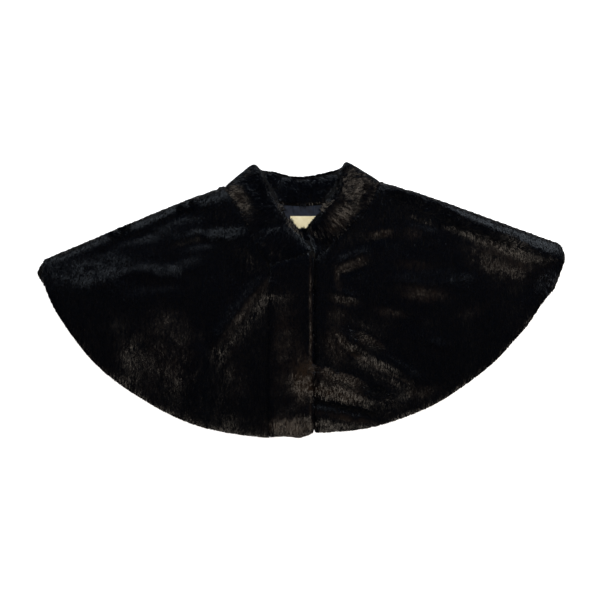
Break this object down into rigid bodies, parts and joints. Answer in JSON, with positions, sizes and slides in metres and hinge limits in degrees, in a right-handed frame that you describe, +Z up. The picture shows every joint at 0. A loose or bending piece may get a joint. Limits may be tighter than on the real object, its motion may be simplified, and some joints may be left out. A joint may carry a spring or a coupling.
{
  "type": "short fur-pile cape",
  "caption": "Short flared cape of black fur-pile cloth with a stand collar and banded front edges, laid flat with its fronts over its back.",
  "frame": {"origin": "centre of the cape's box on the surface that it lies on", "axes": "+X across the cape towards the wearer's left, +Y from the hem to the collar, +Z up from the surface"},
  "size_m": [0.9002, 0.467, 0.0327],
  "materials": {
    "fur_pile": "dense short fur pile, black, soft sheen",
    "satin_lining": "black satin weave",
    "woven_label": "plain woven tape, bare"
  },
  "bodies": {
    "root": {"back": "fur_pile", "right_front": "fur_pile", "left_front": "fur_pile", "right_band": "fur_pile", "left_band": "fur_pile", "collar_outer": "fur_pile", "collar_inner": "fur_pile", "back_lining": "satin_lining", "neck_label": "woven_label"}
  },
  "joints": []
}
